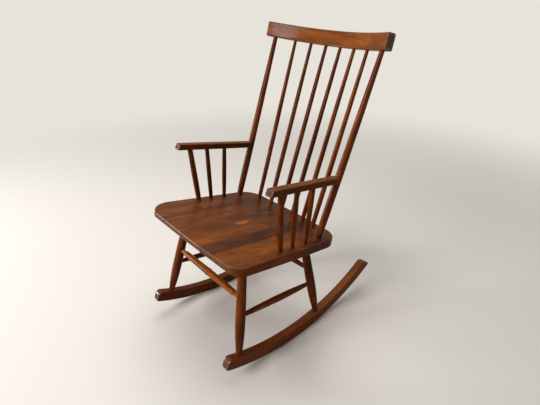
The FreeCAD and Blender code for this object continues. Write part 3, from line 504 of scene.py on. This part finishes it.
def taperedProfile(name, foot, head):
    # Radius by height: plain necks, then a parabola up to the belly and another down from it,
    # radius = belly - (belly - neck) * (share of the way still to go) squared
    height, distance = readRadii(name, foot, head)
    length = np.linalg.norm(head - foot)
    belly, bellyHeight = distance.max(), height[distance.argmax()]
    footRadius = distance[height < turning["endSlice"]].max()
    headRadius = distance[height > length - turning["endSlice"]].max()
    nearFoot = height < length * turning["neckShare"]
    nearHead = height > length * (1 - turning["neckShare"])
    footNeck = height[nearFoot & (abs(distance - footRadius) < turning["sameRadius"])].max()
    headNeck = height[nearHead & (abs(distance - headRadius) < turning["sameRadius"])].min()
    footRadius, belly, headRadius = turning["stout"].get(name, (footRadius, belly, headRadius))
    chamfer = turning["endChamfer"]
    rows = np.concatenate([[0, length, footNeck, headNeck],
                           np.linspace(chamfer, length - chamfer, turning["rows"])])
    rise = toBench(unit(head - foot))[2]
    if rise > turning["standing"]:
        entry = (seatTop - toBench(foot)[2]) / rise
        around = np.linspace(-1, 1, turning["entryRows"]) * turning["entryReach"]
        rows = np.concatenate([rows, entry + around])
    rows = np.unique(np.clip(rows, 0, length))
    up = np.clip((rows - footNeck) / (bellyHeight - footNeck), 0, 1)
    down = np.clip((headNeck - rows) / (headNeck - bellyHeight), 0, 1)
    radius = np.where(rows < bellyHeight, belly - (belly - footRadius) * (1 - up) ** 2,
                      belly - (belly - headRadius) * (1 - down) ** 2)
    return rows, radius


def scoredProfile(name, foot, head):
    # The solid's own corners in order of height, each row softened by its two neighbours, as sandpaper
    # softens a turning
    height, distance = readRadii(name, foot, head)
    order = np.argsort(height)
    length = np.linalg.norm(head - foot)
    rows = np.linspace(0, length, turning["scoredRows"])
    sharp = np.interp(rows, height[order], distance[order])
    padded = np.concatenate([sharp[:1], sharp, sharp[-1:]])
    return rows, (padded[:-2] + 2 * sharp + padded[2:]) / 4


def turnedRelief(height, radius):
    # 1 where a turning stands proud of its own running mean by the relief, -1 where it is as far below it
    near = np.arange(-turning["meanReach"], turning["meanReach"] + 1)
    around = radius[np.clip(np.arange(len(radius))[:, None] + near, 0, len(radius) - 1)].mean(axis=1)
    inside = (height > turning["meanSkip"]) & (height < height[-1] - turning["meanSkip"])
    return np.clip((radius - around) / turning["relief"], -1, 1) * inside


def turnStick(name, profile, slot):
    # A surface of revolution of the profile, with a slow wobble round and along it. Grain runs along the
    # stick, and the growth rings pass through its whole thickness.
    foot, head = readStick(name)
    axis = unit(head - foot)
    level, slope = acrossAndUp(axis)
    height, radius = profile(name, foot, head)
    ends = np.minimum(height, height[-1] - height)
    radius = radius - np.clip(turning["endChamfer"] - ends, 0, None)
    angle = np.linspace(0.0, 2 * math.pi, turning["around"], endpoint=False)
    phase = grainRandom.uniform(0.0, 2 * math.pi, 2)
    wave = np.sin(2 * angle + phase[0]) * np.sin(height[:, None] * turning["wobbleTurns"] + phase[1])
    reach = radius[:, None] + turning["wobble"] * wave
    x, y = reach * np.cos(angle), reach * np.sin(angle)
    tall = height[:, None] + 0 * x
    rings = foot + x[..., None] * level - y[..., None] * slope + tall[..., None] * axis
    aboveSeat = toBench(rings.reshape(-1, 3))[:, 2].reshape(x.shape) - seatTop
    edge = np.clip(1 - abs(aboveSeat) / turning["revealHeight"], 0, 1)
    sunken = np.zeros_like(x)
    # on the scored stretcher the proud rings take the paler rubbed colour and the grooves the darker end
    # colour
    if profile is scoredProfile:
        relief = turnedRelief(height, radius)[:, None] + sunken
        edge, sunken = np.clip(relief, 0, 1), np.clip(-relief, 0, 1)
    ringMesh(name + "_turned", rings, np.stack([x, y, tall], axis=-1), edge, sunken, slot, name)


seatTop = toBench(nodePoints("seat"))[:, 2].max()
stickNames = [name for name in frame["nodes"] if name.endswith(("spindle_1", "spindle_2", "spindle_3"))
              or name.startswith("back_spindle") or name.endswith(("post", "leg", "stretcher"))]
for stickName in sorted(stickNames):
    turnStick(stickName, scoredProfile if stickName == "front_stretcher" else taperedProfile, "turned_wood")
print("sticks turned:", len(stickNames))


# Bars: a rounded box section carried along a middle line

def easeInset(depth, radius):
    # how far a surface draws in at a depth from an edge that is eased to a radius
    short = np.clip(radius - depth, 0, radius)
    return radius - np.sqrt(radius ** 2 - short ** 2)


barGrid = {
    "corner": 7,
    "side": 9,
    "endRows": 12,
    "capShares": (0.25, 0.7),
    "minRadius": 0.0002,
    "cornerReach": 0.012,   # metres from an end over which the section's corners grow rounder
    "endSkin": 0.2,         # share of the largest end rounding that is end grain, which then fades out
}


def barRows(length, rows, endRadius):
    # distances along a bar, close together where its ends are eased
    ease = endRadius * (1 - np.cos(np.linspace(0, math.pi / 2, barGrid["endRows"])))
    between = np.linspace(endRadius, length - endRadius, rows)
    return np.concatenate([ease[:-1], between, length - ease[-2::-1]])


def roundedBox(halves, insets, radii):
    # A box section drawn in on its four sides, +a +b -a -b, with quarter circle corners from the first of
    # them on, going round from a to b. One row of four for each ring. The last result is 1 at the middle of
    # a corner and 0 on a flat.
    quarter = np.linspace(0, math.pi / 2, barGrid["corner"])
    signA, signB = np.array([1, -1, -1, 1]), np.array([1, 1, -1, -1])
    angle = np.arange(4)[:, None] * math.pi / 2 + quarter
    cornerA = signA * (halves[0] - insets[:, [0, 2, 2, 0]] - radii)
    cornerB = signB * (halves[1] - insets[:, [1, 1, 3, 3]] - radii)
    corner = np.stack([cornerA[..., None] + radii[..., None] * np.cos(angle),
                       cornerB[..., None] + radii[..., None] * np.sin(angle)], axis=-1)
    following = np.roll(corner, -1, axis=1)[:, :, :1]
    shares = np.arange(1, barGrid["side"] + 1)[:, None] / (barGrid["side"] + 1)
    flat = corner[:, :, -1:] + (following - corner[:, :, -1:]) * shares
    section = np.concatenate([corner, flat], axis=2)
    bend = np.concatenate([np.sin(2 * quarter), np.zeros(barGrid["side"])])
    return section.reshape(len(section), -1, 2), np.tile(bend, 4)


def capRows(values):
    # repeats the first and the last row, for the rings that fill the bar's ends
    count = len(barGrid["capShares"])
    return np.concatenate([values[:1].repeat(count, 0), values, values[-1:].repeat(count, 0)])


def capScale(count):
    # the size of each ring beside its section: smaller at both ends, whole between them
    shares = np.array(barGrid["capShares"])
    return np.concatenate([shares, np.ones(count), shares[::-1]])


def carryBar(name, place, length, bar, ends, slot):
    # place(a, b, distance) puts a point of the section, at a distance along the bar, into the chair. Towards
    # both ends each side of the section draws in by its own rounding, its corners grow rounder, and smaller
    # rings fill the flat end.
    first, last = np.array(ends[0]), np.array(ends[1])
    largest = max(first.max(), last.max())
    run = barRows(length, bar["rows"], largest)
    insets = easeInset(run[:, None], first) + easeInset(length - run[:, None], last)
    fromEnd = np.minimum(run, length - run)
    nearEnd = np.clip(1 - fromEnd / barGrid["cornerReach"], 0, 1) ** 2
    eased = bar["endCorner"] * nearEnd - easeInset(fromEnd, min(bar["ease"]))
    radii = np.maximum(np.array(bar["ease"]) + eased[:, None], barGrid["minRadius"])
    section, bend = roundedBox((bar["thick"] / 2, bar["wide"] / 2), insets, radii)
    scale = capScale(len(run))
    section = capRows(section) * scale[:, None, None]
    distance = np.broadcast_to(capRows(run)[:, None], section.shape[:2])
    rings = place(section[..., 0], section[..., 1], distance)
    atEnd = capRows(insets.max(axis=1))[:, None] / largest
    edge = np.maximum(bend, atEnd) * (scale == 1)[:, None]
    endGrain = np.clip(2 - capRows(fromEnd) / (barGrid["endSkin"] * largest), 0, 1)
    endGrain = np.broadcast_to(endGrain[:, None], edge.shape)
    grain = np.stack([section[..., 0], section[..., 1], distance], axis=-1)
    ringMesh(name + "_bar", rings, grain, edge, endGrain, slot, name)


rail = {
    "bend": 0.528,
    "rake": math.radians(4.6),
    "thick": 0.0265,
    "wide": 0.051,
    "rows": 180,
    "ease": (0.006, 0.003, 0.003, 0.003),   # the back's top edge is the roundest
    "endEase": 0.003,
    "endCorner": 0.001,
    "wave": 0.00015,
    "waveTurns": (37.0, 60.0),              # radians per metre along the rail and up it
}


def bendRail():
    # The rail's middle line is an arc about an upright axis that leans back by the rake. Its place
    # and its reach come from the solid's corners in that leaning frame.
    up = seatUp * math.cos(rail["rake"]) + seatBack * math.sin(rail["rake"])
    back = seatBack * math.cos(rail["rake"]) - seatUp * math.sin(rail["rake"])
    points = nodePoints("crest_rail")
    centre = back * ((points @ back).max() - rail["bend"] - rail["thick"] / 2) + up * midway(points @ up)
    beside, behind = (points - centre) @ across, (points - centre) @ back
    reach = np.arctan2(beside, behind).max()

    def place(a, b, distance):
        angle = distance / rail["bend"] - reach
        wave = np.sin(distance * rail["waveTurns"][0] + b * rail["waveTurns"][1])
        radius = rail["bend"] + a + rail["wave"] * wave
        return (centre + (radius * np.sin(angle))[..., None] * across
                + (radius * np.cos(angle))[..., None] * back + b[..., None] * up)

    ends = [[rail["endEase"]] * 4] * 2
    carryBar("crest_rail", place, 2 * reach * rail["bend"], rail, ends, "bar_wood")


bendRail()

rocker = {
    "radius": 0.7995,
    "thick": 0.0395,
    "wide": 0.030,
    "toe": math.radians(1.4),
    "ease": (0.0025,) * 4,
    "endCorner": 0.006,
    "rows": 220,
    # how far the underside and the top run from the middle of the arc, to the toe and to the tail
    "toeReach": {"right": (0.197, 0.187), "left": (0.187, 0.177)},
    "tailReach": (0.5435, 0.5035),
    # roundings of the end's top, inner, bottom and outer edges
    "toeEase": (0.016, 0.005, 0.008, 0.006),
    "tailEase": (0.008, 0.004, 0.005, 0.004),
}


def sawRocker(side):
    # An arc whose centre hangs straight above the place where it touches the floor, in a plane that is
    # turned by the toe about the seat's upright. Its ends are cut on a slant: a height between underside
    # and top starts and stops at an angle between theirs.
    name = f"{side}_rocker"
    toe = sides[side] * rocker["toe"]
    square = across * math.cos(toe) + seatBack * math.sin(toe)
    lengthwise = seatBack * math.cos(toe) - across * math.sin(toe)
    middle = midway(nodePoints(name) @ square)
    above = np.array([0.0, floorContact[1], rocker["radius"]])
    centre = above + across * (middle - above @ square) / square[0]
    radii = np.array([rocker["radius"], rocker["radius"] - rocker["thick"]])
    starts = -math.pi / 2 - np.arcsin(np.array(rocker["toeReach"][side]) / radii)
    stops = -math.pi / 2 + np.arcsin(np.array(rocker["tailReach"]) / radii)
    length = (stops - starts).mean() * radii.mean()

    def place(a, b, distance):
        height = a / rocker["thick"] + 0.5
        start = starts[0] + (starts[1] - starts[0]) * height
        stop = stops[0] + (stops[1] - stops[0]) * height
        angle = start + (stop - start) * distance / length
        radius = radii[0] + (radii[1] - radii[0]) * height
        return (centre + (radius * np.cos(angle))[..., None] * lengthwise
                + (radius * np.sin(angle))[..., None] * seatUp + b[..., None] * square)

    carryBar(name, place, length, rocker, (rocker["toeEase"], rocker["tailEase"]), "rocker_wood")


arm = {
    "thick": 0.021,
    "wide": 0.029,
    "ease": (0.003,) * 4,
    "endCorner": 0.002,
    "noseSetBack": 0.007,
    "cope": 0.01275,      # radius of the hollow that clasps the post
    "rows": 90,
    "turnReach": 0.2,     # radians either way, and steps, in which an arm's direction is looked for
    "turnSteps": 4001,
}


def shapeArm(side):
    # A straight bar in the seat's plane. Its direction is the one across which the solid is narrowest, its
    # nose leans back by the set-back over its thickness, and its rear end stops on the post's cylinder.
    name = f"{side}_arm"
    bench = toBench(nodePoints(name))
    turn = np.linspace(-arm["turnReach"], arm["turnReach"], arm["turnSteps"])
    spans = bench[:, :1] * np.cos(turn) - bench[:, 1:2] * np.sin(turn)
    turned = turn[np.ptp(spans, axis=0).argmin()]
    square = across * math.cos(turned) - seatBack * math.sin(turned)
    along = seatBack * math.cos(turned) + across * math.sin(turned)
    local = nodePoints(name) @ np.stack([seatUp, square, along], axis=1)
    low, high = local.min(0), local.max(0)
    middle = (low + high) / 2
    # the sharp lower corner of the nose lies a little ahead of the rounded one
    lean = arm["noseSetBack"] / arm["thick"]
    nose = low[2] - min(arm["ease"]) * (1 + lean - math.sqrt(1 + lean ** 2))
    length = high[2] - nose
    foot, head = readStick(f"{side}_back_post")
    postAxis = unit(head - foot)

    def atNose(a, b):
        return (middle[0] + a)[..., None] * seatUp + (middle[1] + b)[..., None] * square + nose * along

    def stops(a, b):
        # where a line along the arm meets the post's cylinder, or the plane of its two lips beside the post
        start = atNose(a, b) - foot
        flatStart = start - (start @ postAxis)[..., None] * postAxis
        flatAlong = along - (along @ postAxis) * postAxis
        half = flatStart @ flatAlong / (flatAlong @ flatAlong)
        rest = (np.sum(flatStart ** 2, axis=-1) - arm["cope"] ** 2) / (flatAlong @ flatAlong)
        inside = half ** 2 - rest
        meets = np.where(inside > 0, -half - np.sqrt(np.clip(inside, 0, None)), np.inf)
        return np.minimum(meets, length)

    def place(a, b, distance):
        start = (a / arm["thick"] + 0.5) * arm["noseSetBack"]
        reach = start + (stops(a, b) - start) * distance / length
        return atNose(a, b) + reach[..., None] * along

    carryBar(name, place, length, arm, (arm["ease"], arm["ease"]), "bar_wood")


for sideName in sides:
    sawRocker(sideName)
    shapeArm(sideName)
print("bars shaped: the crest rail, two rockers and two arms")


# The seat

seat = {
    "frontWidth": 0.518,
    "rearWidth": 0.488,
    "depth": 0.489,
    "thick": 0.030,
    # the four edges and corners counterclockwise from above: front, left, rear, right, and the corner
    # that each edge ends in
    "bows": (0.009, 0.004, 0.0085, 0.004),
    "corners": (0.044, 0.070, 0.070, 0.086),
    "topEase": 0.004,
    "bottomEase": 0.0012,
    "bevelHeight": 0.014,
    "bevelRun": 0.024,
    "arcPoints": 90,
    "cornerPoints": 30,
    "rings": 46,
    "ringCrowd": 1.3,        # the higher, the closer together the rings lie by the edge
    "bottomRows": 4,
    "sideRows": 8,
    "topRows": 8,
    "hollow": 0.0003,        # how unevenly the top was planed by hand
    "hollowTurns": (23.0, 17.0),
    "hollowPhase": (1.1, 0.6),
    "edgeLean": 0.045,       # the glue joints run a little out of square with the front edge
}


def bowCircle(start, end, bow):
    # the circle through two corners that stands out by the bow to the right of the way between them
    half = np.linalg.norm(end - start) / 2
    radius = (half ** 2 + bow ** 2) / (2 * bow)
    way = unit(end - start)
    outward = np.array([way[1], -way[0]])
    return (start + end) / 2 - outward * (radius - bow), radius


def cornerCentre(first, second, inset, corner):
    # the middle of a rounding that touches two circles from inside: it lies the inset in from both, so it is
    # where two smaller circles cross, and the crossing nearer the corner is the one
    (centreA, radiusA), (centreB, radiusB) = first, second
    apart = centreB - centreA
    gap = np.linalg.norm(apart)
    along = (gap ** 2 + (radiusA - inset) ** 2 - (radiusB - inset) ** 2) / (2 * gap)
    aside = math.sqrt((radiusA - inset) ** 2 - along ** 2)
    square = np.array([-apart[1], apart[0]]) / gap
    crossings = [centreA + apart / gap * along + square * way * aside for way in (-1, 1)]
    return min(crossings, key=lambda place: np.linalg.norm(place - corner))


def arcBetween(centre, first, last, count):
    # points at equal steps of angle along a circle, the shorter way round from one place to the other
    start, end = (math.atan2(*(place - centre)[::-1]) for place in (first, last))
    end += 2 * math.pi * round((start - end) / (2 * math.pi))
    angle = np.linspace(start, end, count)
    radius = np.linalg.norm(first - centre)
    return centre + radius * np.stack([np.cos(angle), np.sin(angle)], axis=-1)


def seatOutline():
    # four bowed edges, each an arc, with a round corner between each edge and the next
    front, rear, depth = seat["frontWidth"] / 2, seat["rearWidth"] / 2, seat["depth"]
    frontY, rearY = seat["bows"][0], depth - seat["bows"][2]
    corners = np.array([[-front, frontY], [front, frontY], [rear, rearY], [-rear, rearY]])
    circles = [bowCircle(start, end, bow)
               for start, end, bow in zip(corners, np.roll(corners, -1, axis=0), seat["bows"])]
    rounds = []
    for number, inset in enumerate(seat["corners"]):
        following = (number + 1) % len(circles)
        pair = circles[number], circles[following]
        centre = cornerCentre(*pair, inset, corners[following])
        touches = [middle + unit(centre - middle) * radius for middle, radius in pair]
        rounds.append((centre, touches))
    outline = []
    for number, (middle, _) in enumerate(circles):
        (_, before), (centre, (first, last)) = rounds[number - 1], rounds[number]
        outline.append(arcBetween(middle, before[1], first, seat["arcPoints"])[:-1])
        outline.append(arcBetween(centre, first, last, seat["cornerPoints"])[:-1])
    return np.concatenate(outline)


def outwardWays(outline):
    # the way out of a closed outline at each of its points, from the chord between its neighbours
    chord = np.roll(outline, -1, axis=0) - np.roll(outline, 1, axis=0)
    way = np.stack([chord[:, 1], -chord[:, 0]], axis=-1)
    return way / np.linalg.norm(way, axis=1, keepdims=True)


def shapeSeat():
    # Rings of the outline: they grow from the middle of the underside to its edge, climb the side, turn
    # over the eased top edge, and shrink to the middle of the top
    outline = seatOutline()
    out = outwardWays(outline)
    middle = np.array([0.0, seat["depth"] / 2])

    def drawnIn(inset):
        return outline - out * inset

    def shrunk(inset):
        # shares of 1 down to nearly 0, closest together by the edge
        share = 1 - np.linspace(0, 1, seat["rings"] + 1)[1:-1] ** seat["ringCrowd"]
        return [middle + (drawnIn(inset) - middle) * s for s in share]

    def floorOf(flat):
        # the underside, planed up towards the front edge
        return -seat["thick"] + seat["bevelHeight"] * np.clip(1 - flat[:, 1] / seat["bevelRun"], 0, None)

    def topOf(flat, deep):
        wave = np.sin(flat * seat["hollowTurns"] + seat["hollowPhase"]).prod(axis=1)
        return -deep + seat["hollow"] * (wave - 1) * np.clip(1 - deep / seat["topEase"], 0, 1)

    rings, edges = [], []
    for flat in shrunk(seat["bottomEase"])[::-1]:
        rings.append((flat, floorOf(flat)))
        edges.append(0.0)
    for turn in np.linspace(0, math.pi / 2, seat["bottomRows"]):
        flat = drawnIn(seat["bottomEase"] * (1 - math.sin(turn)))
        rings.append((flat, floorOf(flat) + seat["bottomEase"] * (1 - math.cos(turn))))
        edges.append(math.sin(2 * turn))
    lowest = floorOf(outline) + seat["bottomEase"]
    for share in np.linspace(0, 1, seat["sideRows"])[1:-1]:
        rings.append((outline, lowest + (-seat["topEase"] - lowest) * share))
        edges.append(0.0)
    for turn in np.linspace(0, math.pi / 2, seat["topRows"]):
        flat = drawnIn(seat["topEase"] * (1 - math.cos(turn)))
        rings.append((flat, topOf(flat, seat["topEase"] * (1 - math.sin(turn)))))
        edges.append(math.sin(2 * turn))
    for flat in shrunk(seat["topEase"]):
        rings.append((flat, topOf(flat, 0.0)))
        edges.append(0.0)
    flats = np.stack([flat for flat, _ in rings])
    heights = np.stack([height for _, height in rings])
    bench = toBench(nodePoints("seat"))
    frontY, topZ = bench[:, 1].min(), bench[:, 2].max()
    points = fromBench(flats[..., 0], frontY + flats[..., 1], topZ + heights)
    edge = np.broadcast_to(np.array(edges)[:, None], heights.shape)
    belowTop = np.clip(-heights / seat["topEase"], 0, 1)
    aboveFloor = np.clip((heights - lowest) / seat["topEase"] + 1, 0, 1)
    endGrain = belowTop * aboveFloor * out[:, 1] ** 2
    grain = np.stack([flats[..., 0], heights, flats[..., 1]], axis=-1)
    piece = ringMesh("seat_plank", points, grain, edge, endGrain, "seat_wood", "seat")
    place = np.stack([flats[..., 0] + seat["edgeLean"] * flats[..., 1], flats[..., 1], heights], axis=-1)
    addVectors(piece.data, "place", withPoles(place))
    print("seat planed:", len(outline), "points round its edge")


shapeSeat()


# Hidden metal and the little plugs behind the arms keep their solids

steelLook = {
    "mottle": ((420.0, 420.0, 420.0), 4.0),
    "dark": (0.28, 0.28, 0.27, 1.0),
    "pale": (0.46, 0.46, 0.44, 1.0),
    "roughness": (0.28, 0.25),   # the least, and how much the mottle adds
}
plugLook = {"Tone": 0.45, "End Grain": 0.6}


def makeSteel():
    # dull zinc: a mottled roughness over a plain grey
    material, tree, shader = newMaterial("steel")
    mottle = noise(tree, objectPlace(tree), *steelLook["mottle"])["Fac"]
    colour = blend(tree, mottle, steelLook["dark"], steelLook["pale"])
    least, more = steelLook["roughness"]
    roughness = calc(tree, "MULTIPLY_ADD", mottle, more, least)
    feed(shader, {"Base Color": colour, "Roughness": roughness, "Metallic": 1.0})
    return material


def makePlugWood():
    # plugs show end grain: fine dark pores on a brown a little deeper than the posts
    material, tree, shader = newMaterial("plug_wood")
    look = woodLooks["turned_wood"]
    wood = addGroup(tree, grainGroup, {"Grain": objectPlace(tree), **plugLook, **look["stain"]})
    roughness = calc(tree, "ADD", wood["Roughness"], varnish["roughness"])
    feed(shader, {"Base Color": wood["Color"], "Roughness": roughness})
    setVarnish(shader, look)
    return material


def dressNode(name, material):
    mesh = frame["nodes"][name].data
    if not mesh.materials:
        mesh.materials.append(material)
    for index in range(len(mesh.materials)):
        mesh.materials[index] = material


steel, plugWood = makeSteel(), makePlugWood()
for sideName in sides:
    dressNode(f"{sideName}_arm_screw", steel)
    dressNode(f"{sideName}_arm_plug", plugWood)


# Camera, floor and light

view = {
    "place": (1.0018, -0.8646, 1.1548),
    "turn": math.radians(48.579),
    "down": math.radians(27.874),
    "roll": math.radians(-0.028),
    "focal": 413.0,         # pixels, of an image 540 wide
    "imageWide": 540,
    "sensor": 36.0,
}


def setPlace(thing, right, up, ahead, place):
    # stands a camera or a lamp at a place with its own -Z ahead
    turned = np.eye(4)
    turned[:3] = np.stack([right, up, -ahead, place], axis=1)
    thing.matrix_world = turned.T.tolist()
    bpy.context.scene.collection.objects.link(thing)


def aimCamera():
    # the way it looks is turned about the upright, pitched down, then rolled about itself
    ahead = np.array([-math.sin(view["turn"]) * math.cos(view["down"]),
                      math.cos(view["turn"]) * math.cos(view["down"]), -math.sin(view["down"])])
    right = np.array([math.cos(view["turn"]), math.sin(view["turn"]), 0.0])
    up = np.cross(right, ahead)
    rolledRight = right * math.cos(view["roll"]) + up * math.sin(view["roll"])
    rolledUp = up * math.cos(view["roll"]) - right * math.sin(view["roll"])
    data = bpy.data.cameras.new("camera")
    data.sensor_width = view["sensor"]
    data.sensor_fit = "HORIZONTAL"
    data.lens = view["focal"] * view["sensor"] / view["imageWide"]
    camera = bpy.data.objects.new("camera", data)
    setPlace(camera, rolledRight, rolledUp, ahead, view["place"])
    bpy.context.scene.camera = camera


room = {
    "floorReach": 6.0,
    "fade": (1.2, 3.2),      # metres from the chair over which the floor turns into the backdrop
    "floorColour": (0.88, 0.84, 0.78, 1.0),
    "floorBounce": (0.42, 0.28, 0.17, 1.0),
    "floorRoughness": 0.9,
    "backdrop": (0.80, 0.77, 0.71, 1.0),
    "dayColour": (0.12, 0.11, 0.10, 1.0),
    # place, what it looks at, size and watts of each soft lamp
    "lamps": {
        "windowLight": ((-2.9, -2.5, 1.0), (0.0, 0.0, 0.4), 1.1, 84.0),
        "frontLight": ((-0.2, -3.4, 2.6), (0.0, 0.0, 0.5), 1.4, 82.0),
        "topLight": ((-0.5, 0.5, 3.3), (0.0, 0.0, 0.4), 2.8, 54.0),
    },
}


def seenRays(tree):
    # 1 for what the camera sees, straight, mirrored or through glass, and 0 for light on its way about
    path = addNode(tree, "ShaderNodeLightPath", {}).outputs
    mirrored = calc(tree, "MAXIMUM", path["Is Glossy Ray"], path["Is Transmission Ray"])
    return calc(tree, "MAXIMUM", path["Is Camera Ray"], mirrored)


def layFloor():
    # A pale floor that keeps the chair's shadow, throws back the warm light of a wooden one, and fades into
    # the backdrop away from the chair
    reach = room["floorReach"]
    corners = [(-reach, -reach, 0.0), (reach, -reach, 0.0), (reach, reach, 0.0), (-reach, reach, 0.0)]
    mesh = bpy.data.meshes.new("floor")
    mesh.from_pydata(corners, [], [(0, 1, 2, 3)])
    floor = bpy.data.objects.new("floor", mesh)
    bpy.context.scene.collection.objects.link(floor)
    material, tree, shader = newMaterial("pale_floor")
    seen = seenRays(tree)
    colour = blend(tree, seen, room["floorBounce"], room["floorColour"])
    feed(shader, {"Base Color": colour, "Roughness": room["floorRoughness"], "Specular IOR Level": 0.0})
    away = vectorCalc(tree, "LENGTH", objectPlace(tree))
    gone = calc(tree, "MULTIPLY", ramp(tree, away, *room["fade"]), seen)
    glow = addNode(tree, "ShaderNodeEmission", {"Color": room["backdrop"]}).outputs[0]
    mixed = addNode(tree, "ShaderNodeMixShader", {0: gone, 1: shader.outputs[0], 2: glow}).outputs[0]
    feed(tree.nodes["Material Output"], {"Surface": mixed})
    mesh.materials.append(material)


def lightRoom():
    world = bpy.data.worlds.new("studio")
    world.use_nodes = True
    tree = world.node_tree
    sky = blend(tree, seenRays(tree), room["dayColour"], room["backdrop"])
    feed(tree.nodes["Background"], {"Color": sky})
    bpy.context.scene.world = world
    for name, (place, target, size, watts) in room["lamps"].items():
        data = bpy.data.lights.new(name, "AREA")
        data.shape = "DISK"
        data.size = size
        data.energy = watts
        lamp = bpy.data.objects.new(name, data)
        ahead = unit(np.array(target) - np.array(place))
        level, _ = acrossAndUp(ahead)
        setPlace(lamp, level, np.cross(-ahead, level), ahead, place)


aimCamera()
layFloor()
lightRoom()
bpy.context.scene.view_settings.view_transform = "Standard"
print("camera, floor and lamps in place")

bpy.context.view_layer.update()
